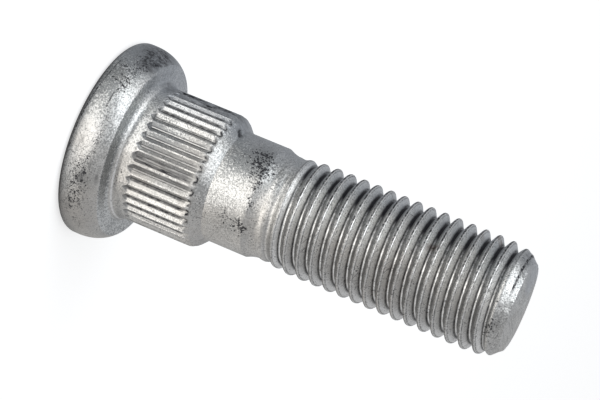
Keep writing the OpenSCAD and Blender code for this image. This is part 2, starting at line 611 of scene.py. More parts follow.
class Recipe:
    """One material's node tree, with one way to add any node."""

    def __init__(self, name: str) -> None:
        """Starts a material with its shader."""
        self.material = bpy.data.materials.new(name)
        self.material.use_nodes = True
        self.tree = self.material.node_tree
        self.shader = self.tree.nodes["Principled BSDF"]

    def node(
        self, kind: str, settings: dict[str, object] | None = None, **inputs: object
    ) -> bpy.types.Node:
        """Adds a node.

        Args:
            kind: the node's type.
            settings: its settings, set before its sockets.
            inputs: values or links for its sockets, by name with _ for a space.

        Returns:
            The node.
        """
        made = self.tree.nodes.new(kind)
        for key, value in (settings or {}).items():
            setattr(made, key, value)
        for key, value in inputs.items():
            self.feed(made.inputs[key.replace("_", " ")], value)
        return made

    def feed(self, socket: bpy.types.NodeSocket, value: object) -> None:
        """Links or sets a socket."""
        if isinstance(value, Value):
            self.tree.links.new(value.socket, socket)
        elif isinstance(value, bpy.types.NodeSocket):
            self.tree.links.new(value, socket)
        else:
            socket.default_value = value

    def finish(self, name: str, value: object) -> None:
        """Links or sets one of the shader's own sockets."""
        self.feed(self.shader.inputs[name], value)

    def noise(self, place: object, size: float, detail: float = 3.0, rough: float = 0.5) -> Value:
        """Noise whose lumps are about size millimetres wide."""
        scale = 1.0 / (size * MM)
        made = self.node(
            "ShaderNodeTexNoise", None, Vector=place, Scale=scale, Detail=detail, Roughness=rough
        )
        return Value(self.tree, made.outputs[0])

    def blend(self, share: "Value | float", low: object, high: object) -> bpy.types.NodeSocket:
        """Mixes two colours by a share."""
        made = self.node("ShaderNodeMix", {"data_type": "RGBA"})
        factor, first, second = (made.inputs[k] for k in (0, 6, 7))
        self.feed(factor, share)
        self.feed(first, low)
        self.feed(second, high)
        return made.outputs[2]

    def parts(self, vector: bpy.types.NodeSocket) -> tuple[Value, Value, Value]:
        """The three components of a vector."""
        made = self.node("ShaderNodeSeparateXYZ", None, Vector=vector)
        x, y, z = (Value(self.tree, socket) for socket in made.outputs)
        return x, y, z

    def vector(self, x: object, y: object, z: object) -> bpy.types.NodeSocket:
        """A vector from its three components."""
        return self.node("ShaderNodeCombineXYZ", None, X=x, Y=y, Z=z).outputs[0]

    def attribute(self, name: str) -> Value:
        """A number stored on the piece's vertices."""
        made = self.node("ShaderNodeAttribute", {"attribute_name": name})
        return Value(self.tree, made.outputs["Fac"])


Colour = tuple[float, float, float, float]


@dataclass(frozen=True)
class Mark:
    """A patch on the stud. Turns are degrees from its front, heights are millimetres."""

    turn: float
    height: float
    half_turn: float
    half_height: float
    strength: float = 1.0

    def on(self, front: np.ndarray, height: np.ndarray) -> np.ndarray:
        """The mark's strength at each place, fading to a half at its half-widths."""
        away = (front - self.turn + 180.0) % 360.0 - 180.0
        far = (away / self.half_turn) ** 2 + ((height - self.height) / self.half_height) ** 2
        return self.strength * np.exp(-0.7 * far**1.5)


@dataclass(frozen=True)
class Wear:
    """Where the plating is pitted, darker, lighter, sooty or stained, as lists of marks. The darker,
    lighter, sooty and smudged lists are partly the plating's own tone and dirt and partly painted
    shade and painted highlights.
    """

    pits: tuple[Mark, ...] = (
        Mark(-45.0, 2.2, 14.0, 1.2, 0.9),
        Mark(-20.0, 2.9, 16.0, 0.5, 0.8),
        Mark(8.0, 3.1, 16.0, 0.4, 0.7),
        Mark(30.0, 2.6, 14.0, 0.9, 1.0),
        Mark(27.0, 2.6, 4.0, 0.4, 0.8),
        Mark(16.0, 1.6, 16.0, 0.9, 0.6),
        Mark(44.0, 1.4, 14.0, 0.9, 0.6),
        Mark(28.0, 46.0, 12.0, 0.5, 0.5),
        Mark(46.0, 34.0, 28.0, 16.0, 0.75),
        Mark(-30.0, 34.0, 22.0, 16.0, 0.55),
        Mark(55.0, 2.4, 16.0, 1.2, 0.6),
        Mark(-75.0, 2.0, 16.0, 1.5, 0.7),
        Mark(-20.0, 0.55, 22.0, 0.16, 0.8),
        Mark(-42.0, 17.9, 16.0, 1.6, 1.5),
        Mark(-24.0, 18.6, 10.0, 0.9, 1.3),
        Mark(-6.0, 18.9, 14.0, 0.35, 1.4),
        Mark(10.0, 19.1, 8.0, 0.3, 1.2),
        Mark(34.0, 18.6, 8.0, 0.6, 1.0),
        Mark(33.0, 16.8, 9.0, 2.2, 0.8),
        Mark(-66.0, 3.4, 22.0, 0.9, 1.0),
        Mark(25.0, 5.1, 22.0, 0.4, 0.9),
        Mark(-60.0, 14.26, 5.0, 0.35, 1.6),
        Mark(-14.0, 45.7, 16.0, 0.2, 0.9),
        Mark(2.0, 46.2, 5.0, 0.7, 0.8),
        Mark(32.0, 46.0, 14.0, 0.8, 0.7),
        Mark(-60.0, 46.0, 14.0, 0.8, 0.8),
        Mark(-24.0, 37.85, 3.0, 0.3, 0.4),
        Mark(-75.0, 42.95, 4.0, 0.4, 0.6),
        Mark(120.0, 2.6, 40.0, 0.8, 0.8),
        Mark(-140.0, 2.4, 30.0, 1.0, 0.8),
        Mark(150.0, 17.5, 30.0, 1.4, 0.9),
    )
    # Darker patches: partly duller plating, partly painted shade on the knurl's middle teeth and on
    # the left side of the head, knurl and shank
    dull_and_shade: tuple[Mark, ...] = (
        Mark(-75.0, 2.0, 26.0, 2.5, 1.0),
        Mark(-82.0, 9.5, 10.0, 4.5, 0.9),
        Mark(-8.0, 9.6, 22.0, 4.0, 1.2),
        Mark(14.0, 9.6, 9.0, 4.0, 0.6),
        Mark(-40.0, 5.6, 14.0, 0.5, 0.8),
        Mark(31.0, 16.8, 10.0, 2.4, 1.7),
        Mark(-45.0, 16.8, 22.0, 2.8, 0.9),
        Mark(-44.0, 17.8, 16.0, 1.4, 0.9),
        Mark(-25.0, 17.2, 8.0, 2.2, 0.9),
        Mark(-68.0, 3.5, 20.0, 0.8, 1.2),
        Mark(-28.0, 1.6, 10.0, 1.2, 1.0),
        Mark(10.5, 9.6, 4.5, 5.0, 1.5),
        Mark(-48.0, 14.0, 14.0, 0.8, 0.9),
        Mark(28.0, 2.9, 10.0, 0.6, 0.8),
        Mark(45.0, 3.2, 22.0, 0.8, 0.5),
        Mark(-58.0, 14.1, 14.0, 0.7, 0.8),
        Mark(26.0, 46.2, 12.0, 0.8, 0.55),
        Mark(100.0, 9.0, 30.0, 5.0, 0.5),
        Mark(170.0, 3.0, 40.0, 2.0, 0.6),
        Mark(-150.0, 16.8, 30.0, 2.0, 0.6),
    )
    # Lighter patches: partly paler plating, partly painted highlights, such as the knurl's bright
    # side bands and the head's rim and side
    pale_and_highlight: tuple[Mark, ...] = (
        Mark(4.0, 1.6, 12.0, 1.2, 1.35),
        Mark(-20.0, 3.7, 14.0, 0.35, 0.65),
        Mark(-24.0, 3.0, 12.0, 0.45, 0.9),
        Mark(11.0, 16.6, 13.0, 2.4, 0.6),
        Mark(-14.0, 19.7, 18.0, 0.5, 0.7),
        Mark(-6.0, 5.6, 24.0, 0.5, 1.5),
        Mark(-48.0, 9.6, 16.0, 4.0, 1.3),
        Mark(54.0, 9.6, 24.0, 4.0, 2.0),
        Mark(-14.0, 13.9, 22.0, 0.4, 0.7),
        Mark(-12.0, 46.4, 15.0, 0.7, 1.0),
        Mark(140.0, 9.6, 22.0, 4.0, 0.7),
        Mark(-110.0, 16.6, 22.0, 2.4, 0.6),
    )
    # Painted shade in the thread's valleys on the left side, and darker valleys at the back
    soot_and_shade: tuple[Mark, ...] = (
        Mark(-58.0, 34.0, 25.0, 30.0, 1.3),
        Mark(130.0, 32.0, 40.0, 24.0, 0.6),
    )
    # Dark smudges and spots, and painted shade on the left edges of the knurl and the head
    smut_and_shade: tuple[Mark, ...] = (
        Mark(-75.0, 9.5, 12.0, 4.8, 0.9),
        Mark(76.0, 9.5, 12.0, 4.6, 0.12),
        Mark(-74.0, 2.8, 18.0, 1.5, 0.75),
        Mark(-58.0, 3.7, 12.0, 0.6, 0.7),
        Mark(-46.0, 17.9, 12.0, 0.9, 0.3),
        Mark(-60.0, 14.2, 4.0, 0.28, 1.3),
        Mark(-62.0, 2.7, 5.0, 0.35, 0.8),
        Mark(-51.0, 2.8, 4.0, 0.35, 0.6),
        Mark(27.0, 2.6, 4.0, 0.4, 0.5),
        Mark(30.0, 2.7, 9.0, 0.8, 0.3),
        Mark(18.0, 3.1, 2.5, 0.16, 0.9),
        Mark(27.0, 3.95, 3.0, 0.14, 0.9),
        Mark(7.0, 1.6, 1.6, 0.2, 0.8),
        Mark(46.0, 1.8, 3.0, 0.2, 0.8),
        Mark(60.0, 2.2, 18.0, 1.5, 0.2),
        Mark(-64.0, 46.2, 16.0, 0.9, 0.55),
        Mark(-36.0, 46.8, 22.0, 0.18, 0.5),
        Mark(28.0, 46.1, 13.0, 0.8, 0.3),
    )
    stains: tuple[Mark, ...] = (
        Mark(-75.0, 42.95, 6.0, 0.45, 1.0),
        Mark(-24.0, 37.85, 5.0, 0.5, 0.9),
        Mark(10.0, 35.0, 20.0, 2.0, 0.25),
        Mark(-60.0, 41.3, 5.0, 0.4, 0.7),
        Mark(130.0, 30.0, 30.0, 4.0, 0.3),
    )
    thickest: float = 1.6

    def cover(self, name: str, places: Places) -> np.ndarray:
        """The summed strength of one list's marks at each place."""
        front, total = places.front(), np.zeros_like(places.angle)
        for mark in getattr(self, name):
            total = total + mark.on(front, places.height)
        return np.clip(total, 0.0, self.thickest)


@dataclass(frozen=True)
class Stroke:
    """A thin scratch or crack through some points, each a turn in degrees and a height."""

    points: tuple[tuple[float, float], ...]
    width: float = 0.09
    strength: float = 0.8

    def drawn(self, around: Value, height: Value) -> Value:
        """The stroke's strength, by distances around the stud and along it."""
        places = [(turn * GIRTH / 360.0, level) for turn, level in self.points]
        pieces = (self.piece(around, height, *ends) for ends in zip(places, places[1:]))
        return reduce(or_, pieces) * self.strength

    def piece(
        self, around: Value, height: Value, start: tuple[float, float], end: tuple[float, float]
    ) -> Value:
        """One straight piece of the stroke, 1 on it and 0 at a width's distance."""
        run, rise = end[0] - start[0], end[1] - start[1]
        along = (around - start[0]) * run + (height - start[1]) * rise
        share = (along * (1.0 / (run**2 + rise**2))).hold()
        off_around = around - start[0] - share * run
        off_height = height - start[1] - share * rise
        away = (off_around * off_around + off_height * off_height).join("SQRT")
        return away.fall(self.width * 0.4, self.width)


@dataclass(frozen=True)
class Scratches:
    """Thin straight scratches in one direction, in degrees from the axis and millimetres."""

    turn: float
    rarity: float
    seed: float
    length: float = 3.2
    width: float = 0.13

    def drawn(self, recipe: Recipe, around: Value, along: Value) -> Value:
        """1 on a scratch and 0 away from it, by distances around the stud and along it."""
        cos, sin = math.cos(math.radians(self.turn)), math.sin(math.radians(self.turn))
        run = along * (cos / self.length) + around * (sin / self.length) + self.seed
        across = (around * cos - along * sin) * (1.0 / self.width)
        lines = recipe.noise(recipe.vector(run, across, self.seed), 1.0 / MM, 1.0)
        return lines.band(self.rarity, self.rarity + 0.06)


class Skin:
    """What the finish reads at each place: where that is, its stored marks and its noise.

    Turn is a share of a full turn, 0 at the front and above 0 to the right. Side is its sine.
    """

    def __init__(self, recipe: Recipe) -> None:
        """Adds the nodes that the whole finish shares."""
        self.recipe = recipe
        self.place = recipe.node("ShaderNodeTexCoord").outputs["Object"]
        self.x, self.y, z = recipe.parts(self.place)
        self.turn = self.x.join("ARCTAN2", self.y * -1.0) * (1.0 / (2.0 * math.pi))
        self.height = z * (1.0 / MM)
        self.away = (self.x * self.x + self.y * self.y).join("SQRT") * (1.0 / MM)
        self.side = self.x / (self.away | 2.0) * (1.0 / MM)
        self.around = self.turn * GIRTH
        self.pits = recipe.attribute("pits")
        self.dull_and_shade = recipe.attribute("dull_and_shade")
        self.pale_and_highlight = recipe.attribute("pale_and_highlight")
        self.stains = recipe.attribute("stains")
        self.soot_and_shade = recipe.attribute("soot_and_shade")
        self.smut_and_shade = recipe.attribute("smut_and_shade")
        self.groove = recipe.attribute("groove")
        self.toothed = recipe.attribute("toothed")
        self.broad = recipe.noise(self.place, 3.5, 4.0) - 0.5
        self.mottle = recipe.noise(self.place, 0.9, 4.0, 0.6) - 0.5
        self.fine = recipe.noise(self.place, 0.34, 3.0, 0.6).band(0.28, 0.72) - 0.5
        self.grain = recipe.noise(self.place, 0.17, 2.0, 0.6).band(0.3, 0.7) - 0.5
        self.beads = recipe.noise(self.place, 0.23, 1.0).band(0.38, 0.6)


class ThreadLook:
    """The thread's own lines. Their places are shares of a pitch above the crest's middle."""

    def __init__(self, skin: Skin, thread: RolledThread) -> None:
        """Adds the thread's nodes."""
        turn, beads = skin.turn, skin.beads
        self.zone = skin.height.between((20.9, 22.6), (45.6, 46.0))
        phase = (skin.height - thread.front_crest) * (1.0 / thread.pitch) - turn
        phase = (phase + 0.5).join("FRACT") - 0.5
        self.phase = phase
        self.lower = turn.band(-0.07, 0.02)

        # A rolled seam, which wanders a little on the lower side, and a second line beside it
        seam = abs(phase - 0.005 + self.lower * 0.05).fall(0.045, 0.08) * self.zone
        seam = seam * (beads * 0.65 + 0.4) * (1.0 - self.lower * 0.3)
        self.seam = seam | phase.ridge(0.125, 0.04) * self.zone * beads * 0.85

        # The lip above the seam and the root, lightened as painted highlights
        lip = phase.ridge(0.075, 0.045) * (beads * 0.9 + 0.45) * self.zone
        self.lip = lip * (1.0 - turn.band(0.07, 0.13) * 0.6)
        self.root = abs(phase).band(0.435, 0.462) * self.zone * turn.band(-0.07, 0.0)

        # Painted shade: a dark line at the foot of the flank, and darker valleys, most on the left
        # side
        self.foot = phase.ridge(0.395, 0.085) * self.zone * (skin.fine * 0.8 + 0.95)
        valley = abs(phase + 0.012).band(0.36, 0.44) * self.zone
        self.valley = valley * (skin.soot_and_shade | turn.fall(-0.06, 0.0) * (beads * 0.4 + 0.3))

        # The flank that looks to the tip, and the hatched one that looks to the head: painted light
        # on it left of the front, and painted shade on its lower side
        self.wide = phase.between((0.12, 0.15), (0.34, 0.39)) * self.zone
        under = phase.band(-0.44, -0.40) * (phase - self.lower * 0.1).fall(-0.11, -0.07)
        under = under * self.zone
        hatch = (skin.around * 27.053 - phase * 27.0).join("SINE") * 0.5
        self.painted_under_light = under * (1.0 - self.lower) * turn.band(-0.2, -0.12)
        self.under = under * self.lower * (hatch * 0.6 + 0.45)
        self.hatch = hatch * self.zone * (beads * 0.6 + 0.4)


class TeethLook:
    """The knurl's own lines. Groove is 0 on a tooth's top and 1 at a groove's root."""

    def __init__(self, skin: Skin) -> None:
        """Adds the teeth's nodes."""
        turn, groove, toothed, height = skin.turn, skin.groove, skin.toothed, skin.height
        stretched = skin.recipe.vector(skin.around * 3.8, height * 0.35, 2.0)
        lined = skin.recipe.noise(stretched, 1.0 / MM, 3.0, 0.6).band(0.3, 0.7)
        self.lined = (lined - 0.5) * toothed

        # Narrow tops lightened as painted highlights, and lined flanks darkened as painted shade on
        # the teeth that face the camera
        self.top = (1.0 - groove * 6.0).hold() * toothed
        flank = groove.band(0.03, 0.12) * toothed * (self.lined * 1.6 + 0.8)
        facing = turn.ridge(0.026, 0.022) * 0.45 + turn.ridge(0.01, 0.11) * 0.4
        self.flank = flank * facing

        # Roots at the front lightened as painted highlights, and painted shade in lines beside them
        outer = abs(turn + 0.02).band(0.07, 0.085)
        self.root = groove.band(0.93, 0.975) * toothed * (1.0 - outer)
        creases = groove.ridge(0.79, 0.2) * (1.0 - outer) + groove.band(0.55, 0.75) * outer
        self.creases = creases * toothed * (skin.fine * 0.6 + 1.05)

        # Both ends of the grooves darkened as painted shade, and the teeth's upper ends lightened as
        # painted highlights
        feet = groove.band(0.04, 0.16) * height.fall(6.25, 6.5)
        self.feet = feet * (0.72 - skin.side.band(-0.7, 0.0) * 0.24)
        hooks = groove.ridge(0.4, 0.36) * height.band(12.9, 13.05) * height.fall(13.35, 13.5)
        hooks = hooks * abs(turn + 0.02).fall(0.13, 0.18)
        self.hooks = hooks * (skin.mottle * 3.0 + skin.beads * 0.5 + 0.85)
        self.ends = (1.0 - groove * 5.0).hold() * height.ridge(13.0, 0.3) * skin.beads


class HeadLook:
    """The head's own parts, by their heights in millimetres."""

    def __init__(self, skin: Skin) -> None:
        """Adds the head's nodes: the seat, painted darker at the front and lighter at the sides, a
        painted highlight ring and painted shade at its fillet, the back edge, which takes painted
        shade, and the head.
        """
        turn, height = skin.turn, skin.height
        self.seat = height.between((4.24, 4.29), (4.4, 4.56))
        self.ring = height.ridge(4.72, 0.13) * abs(turn - 0.05).fall(0.17, 0.26)
        shade = height.ridge(5.03, 0.2) * turn.ridge(0.075, 0.06)
        self.shade = shade * (skin.beads * 0.6 + 0.4)
        self.back = height.fall(0.35, 0.6)
        self.all = height.fall(4.2, 4.3)


@dataclass(frozen=True)
class ZincPlate:
    """Dull zinc plating on forged steel, handled and a little stained."""

    thread: RolledThread
    # Near white for painted highlights
    painted_highlight_colour: Colour = (0.94, 0.93, 0.915, 1.0)
    bright: Colour = (0.76, 0.765, 0.76, 1.0)
    middle: Colour = (0.56, 0.57, 0.565, 1.0)
    dull_and_shade: Colour = (0.325, 0.335, 0.34, 1.0)
    # Tints: a warmer one for random patches and for painted light on the right, a cooler one for
    # painted light far left
    warm_tone_and_light: Colour = (0.605, 0.573, 0.535, 1.0)
    painted_cool_light: Colour = (0.46, 0.49, 0.54, 1.0)
    # Near black for pits, lines, smudges and painted shade
    dirt_and_shade: Colour = (0.028, 0.028, 0.033, 1.0)
    rust: Colour = (0.16, 0.09, 0.05, 1.0)
    roughness: float = 0.32
    metallic: float = 0.95
    bump_strength: float = 0.6
    bump_height: float = 0.06
    handling: tuple[Scratches, ...] = (Scratches(35.0, 0.64, 3.1), Scratches(-62.0, 0.64, 9.7))
    end_marks: Scratches = Scratches(22.0, 0.6, 5.0)
    strokes: tuple[Stroke, ...] = (
        Stroke(((20.0, 16.65), (26.0, 16.8), (29.0, 17.3), (30.0, 18.1)), 0.085, 0.9),
        Stroke(((26.0, 18.0), (31.0, 18.3), (37.0, 18.85)), 0.075, 0.85),
        Stroke(((-46.0, 0.95), (-26.0, 0.76), (-12.0, 0.52), (14.0, 0.42)), 0.085, 1.0),
        Stroke(((-38.0, 1.9), (-36.0, 2.2), (-36.5, 2.85), (-33.0, 3.3)), 0.085, 0.95),
        Stroke(((-33.0, 1.4), (-32.0, 2.55), (-30.5, 2.9), (-28.0, 3.4)), 0.085, 0.95),
        Stroke(((-29.5, 2.7), (-24.0, 2.45), (-16.0, 2.5)), 0.1, 0.9),
        Stroke(((36.0, 31.6), (52.0, 34.4)), 0.09, 0.55),
        Stroke(((30.0, 17.2), (74.0, 14.9)), 0.07, 0.4),
    )
    pit_sizes: tuple[tuple[float, float], ...] = ((0.36, 0.44), (0.2, 0.38))

    def make(self) -> bpy.types.Material:
        """Builds the material.

        Returns:
            A material that reads the stud's own coordinates and attributes.
        """
        recipe = Recipe("zinc_plated_steel")
        skin = Skin(recipe)
        scratches = self.scratches(skin)
        drawn = self.drawn(skin)
        thread, teeth, head = ThreadLook(skin, self.thread), TeethLook(skin), HeadLook(skin)
        colour = self.plated(skin, head, self.level(skin, thread, teeth, head))
        # Painted highlights, blended towards near white
        colour = recipe.blend(self.painted_highlights(skin, thread, teeth, head).hold(), colour, self.painted_highlight_colour)
        rusty = (skin.stains * (skin.mottle + 0.5).band(0.35, 0.6)).hold() * 0.8
        colour = recipe.blend(rusty, colour, self.rust)
        holes = self.holes(skin)
        lines = self.lines(skin, thread, teeth, head, holes)
        grime_and_shade = self.grime_and_shade(skin, thread, teeth, head, lines)
        handled = skin.broad.band(0.0, 0.1) * 0.25 + 0.24 - head.all * 0.12 + thread.zone * 0.12
        grime_and_shade = grime_and_shade | scratches * handled
        pepper = recipe.noise(skin.place, 0.15, 1.0).band(0.56, 0.66) * (skin.mottle * 1.5 + 0.34)
        grime_and_shade = (grime_and_shade | drawn | pepper).hold()
        # Pits, lines and smudges with painted shade, blended towards near black
        recipe.finish("Base Color", recipe.blend(grime_and_shade, colour, self.dirt_and_shade))

        rough = skin.mottle * 0.12 + skin.broad * 0.1 + skin.dull_and_shade * 0.06 - skin.pale_and_highlight * 0.03
        rough = rough + grime_and_shade * 0.2 - teeth.top * 0.06 + thread.wide * 0.16 - thread.lip * 0.1
        recipe.finish("Roughness", (rough + self.roughness).hold())
        recipe.finish("Metallic", self.metallic)
        relief = skin.grain * 0.28 + skin.fine * 0.32 + skin.mottle * 1.1 - holes * 0.25
        relief = relief + teeth.lined * 0.35
        bump = recipe.node(
            "ShaderNodeBump",
            None,
            Strength=self.bump_strength,
            Distance=self.bump_height * MM,
            Height=relief,
        )
        recipe.finish("Normal", bump.outputs["Normal"])
        return recipe.material

    def scratches(self, skin: Skin) -> Value:
        """Fine straight scratches from handling, in patches."""
        families = (s.drawn(skin.recipe, skin.around, skin.height) for s in self.handling)
        return reduce(or_, families) * skin.recipe.noise(skin.place, 2.6).band(0.44, 0.6)

    def drawn(self, skin: Skin) -> Value:
        """The few scratches and cracks that are seen one by one, a little wavy and broken up."""
        around = skin.around + skin.mottle * 0.5 + skin.fine * 0.07
        height = skin.height + skin.broad * 0.5 + skin.fine * 0.07
        strokes = (stroke.drawn(around, height) for stroke in self.strokes)
        return reduce(or_, strokes) * (skin.beads * 0.8 + 0.2)

    def level(self, skin: Skin, thread: ThreadLook, teeth: TeethLook, head: HeadLook) -> Value:
        """How light the bare plating is, from the darkest tone at 0 over the middle tone at 0.5 to
        the bright tone at 1.2, with painted highlights and painted shade added in.
        """
        turn = skin.turn
        level = skin.broad * 1.2 + skin.mottle * (head.all + 1.0)
        level = level + (skin.pale_and_highlight * 0.75 - skin.dull_and_shade * 0.75) + 0.56
        level = level + skin.grain * (thread.zone * 0.9 + 2.6) + skin.fine * 0.7
        # Lined and hatched textures, and the thread's lower side a little lighter as painted light
        level = level + teeth.lined * 2.8 + thread.hatch * 0.5 + thread.lower * thread.zone * 0.12
        # Painted light on the flank that looks to the tip, more to the right, and on the under flank
        # left of the front; painted shade on the back edge
        lit = turn.ridge(0.03, 0.16) * 0.4 + turn.band(0.06, 0.13) * 0.35 + 0.45
        level = level + thread.wide * lit + thread.painted_under_light * 0.6 - head.back * 0.75
        # The seat: painted shade at the front, painted light at the sides
        level = level - head.seat * (0.42 - abs(turn).band(0.1, 0.18) * 0.7)
        # Painted highlights on the tooth tops, the ring, the teeth's upper ends and the thread's lip
        level = level + (teeth.top * 0.6 + head.ring * 0.45 + teeth.ends * 0.8 + thread.lip * 0.3)
        # Painted shade in a band beside the ring
        return level - skin.height.between((4.8, 4.88), (5.1, 5.25)) * 0.7

    def plated(self, skin: Skin, head: HeadLook, level: Value) -> bpy.types.NodeSocket:
        """The bare plating's colour, with warmer random patches, painted warmer light to the right
        and painted cooler light far left.
        """
        recipe = skin.recipe
        colour = recipe.blend(level.band(0.0, 0.55), self.dull_and_shade, self.middle)
        colour = recipe.blend(level.band(0.5, 1.2), colour, self.bright)
        # Random warmer patches, plus painted warmer light that grows to the right
        tint = recipe.noise(skin.place, 6.0).band(0.45, 0.7) * 0.4 + skin.side.band(-0.4, 0.55) * 0.45
        colour = recipe.blend(tint.hold() * (1.0 - head.seat), colour, self.warm_tone_and_light)
        return recipe.blend(skin.side.fall(-0.95, -0.6) * 0.6, colour, self.painted_cool_light)

    def painted_highlights(self, skin: Skin, thread: ThreadLook, teeth: TeethLook, head: HeadLook) -> Value:
        """Painted highlights: lips, roots, flanks, tooth ends and the ring."""
        painted_highlights = thread.root | thread.lip
        lit = skin.turn.band(-0.02, 0.12) * 0.45 + skin.turn.band(-0.12, -0.02) * 0.3 + 0.25
        painted_highlights = painted_highlights | thread.wide * lit * (skin.mottle * 1.5 + 1.0) | teeth.root * 0.9
        ring = head.ring * (skin.side.band(-0.1, 0.4) * 0.7 + 0.25)
        return painted_highlights | ring | teeth.ends * 0.7

    def lines(
        self, skin: Skin, thread: ThreadLook, teeth: TeethLook, head: HeadLook, holes: Value
    ) -> Value:
        """How dark pits, cracks and lines are at each place, from 0 to 1, together with painted
        shade.
        """
        cracks = abs(skin.recipe.noise(skin.place, 1.1, 3.0, 0.65) - 0.5).ridge(0.0, 0.02)
        cracks = cracks * (head.all * 0.9 + 0.1)
        cracks = cracks * (skin.pits + skin.mottle * 1.5).band(0.45, 0.8) * 0.9
        # Pits, the seam and cracks are the plating's own; the foot line and the under flank are
        # painted shade
        lines = holes | thread.seam * 0.95 | cracks | thread.foot * 0.9 | thread.under
        # Painted shade in the valleys and beside the knurl's roots
        lines = lines | thread.valley * 0.95 | teeth.creases * 0.75
        lines = lines | (teeth.lined * -1.8 - 0.2).hold() * 0.6
        # Painted shade on the knurl's flanks, at the grooves' upper ends and beside the ring
        return lines | teeth.flank | teeth.hooks * 0.95 | head.shade * 0.75

    def grime_and_shade(
        self, skin: Skin, thread: ThreadLook, teeth: TeethLook, head: HeadLook, lines: Value
    ) -> Value:
        """The dark lines and smudges, painted shade on the back edge, at the feet of the knurl's
        grooves and in the last groove, and scratches on the tip's end face.
        """
        turn, height = skin.turn, skin.height
        smut_and_shade = (skin.smut_and_shade * (1.0 - head.seat)).hold()
        smut_and_shade = smut_and_shade * (skin.mottle * 1.6 + skin.fine * 0.9 + teeth.lined * 1.6 + 0.6)
        # Painted shade on the back edge and at the feet of the grooves, with the smudges
        grime_and_shade = lines | head.back * 0.3 | teeth.feet | smut_and_shade
        # Painted shade in the last groove
        last = abs(thread.phase).band(0.40, 0.45) * height.band(45.2, 45.5)
        last = last * height.fall(46.7, 46.8)
        grime_and_shade = grime_and_shade | last * turn.fall(-0.05, 0.0) * (skin.beads * 0.45 + 0.6)
        face = (4.5 - skin.away).band(0.0, 0.15) * height.band(46.0, 46.2)
        x, y = skin.x * (1.0 / MM), skin.y * (1.0 / MM)
        return grime_and_shade | face * self.end_marks.drawn(skin.recipe, x, y) * 0.45

    def holes(self, skin: Skin) -> Value:
        """Small dark pits, loose on the whole stud and crowded where it is marked."""
        return reduce(or_, (self.dots(skin, size, rare) for size, rare in self.pit_sizes)) * 0.9

    def dots(self, skin: Skin, size: float, rare: float) -> Value:
        """Pits of one size in millimetres, each with its own chance of being there."""
        recipe, scale = skin.recipe, 1.0 / (size * MM)
        cells = recipe.node("ShaderNodeTexVoronoi", None, Vector=skin.place, Scale=scale)
        chance, _, _ = recipe.parts(cells.outputs["Color"])
        away = Value(recipe.tree, cells.outputs["Distance"]) + skin.fine * 0.35
        reach = chance * 0.35 + skin.pits * 0.36 + skin.mottle * 0.8 - rare
        return (reach - away + 0.12).band(0.0, 0.14)


@dataclass
class WheelStud:
    """The whole stud: blank, knurl, thread and finish."""

    blank: ForgedBlank = field(default_factory=ForgedBlank)
    collar: KnurledCollar = field(default_factory=KnurledCollar)
    thread: RolledThread = field(default_factory=RolledThread)
    wear: Wear = field(default_factory=Wear)
    smooth_angle: float = 33.0

    def build(self) -> bpy.types.Object:
        """Forges, knurls and rolls the stud.

        Returns:
            The finished mesh object.
        """
        obj = self.blank.forge()
        mesh = obj.data
        places = Places.read(mesh)
        for name in ("pits", "dull_and_shade", "pale_and_highlight", "soot_and_shade", "smut_and_shade", "stains"):
            self.store(mesh, name, self.wear.cover(name, places))
        toothed = self.collar.toothed(places)
        groove = self.collar.roll(places)
        self.thread.roll(places)
        places.write(mesh)
        self.store(mesh, "groove", groove)
        self.store(mesh, "toothed", toothed)
        bpy.ops.object.select_all(action="DESELECT")
        obj.select_set(True)
        bpy.context.view_layer.objects.active = obj
        bpy.ops.object.shade_smooth_by_angle(angle=math.radians(self.smooth_angle))
        return obj

    def store(self, mesh: bpy.types.Mesh, name: str, values: np.ndarray) -> None:
        """Keeps one number for each vertex, for the finish to read."""
        layer = mesh.attributes.new(name, "FLOAT", "POINT")
        layer.data.foreach_set("value", values.astype(np.float32))

    def dress(self, obj: bpy.types.Object) -> None:
        """Gives the stud its finish and its place in the frame."""
        obj.data.materials.clear()
        obj.data.materials.append(ZincPlate(self.thread).make())
        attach(obj, "root")
        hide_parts("wheel_stud")


@dataclass(frozen=True)
class Lamp:
    """A soft rectangular lamp that looks at the stud's middle. Sizes are in millimetres."""

    name: str
    azimuth: float
    elevation: float
    distance: float
    width: float
    depth: float
    power: float
    colour: tuple[float, float, float] = (1.0, 1.0, 1.0)

    def place(self, target: Vector) -> None:
        """Puts the lamp up, facing a point given in metres."""
        turn, lift = math.radians(self.azimuth), math.radians(self.elevation)
        level = math.cos(lift)
        away = Vector((math.sin(turn) * level, -math.cos(turn) * level, math.sin(lift)))
        data = bpy.data.lights.new(self.name, "AREA")
        data.shape = "RECTANGLE"
        data.size, data.size_y = self.width * MM, self.depth * MM
        data.energy = self.power
        data.color = self.colour
        obj = bpy.data.objects.new(self.name, data)
        obj.location = target + away * (self.distance * MM)
        obj.rotation_euler = (-away).to_track_quat("-Z", "Y").to_euler()
        bpy.context.scene.collection.objects.link(obj)


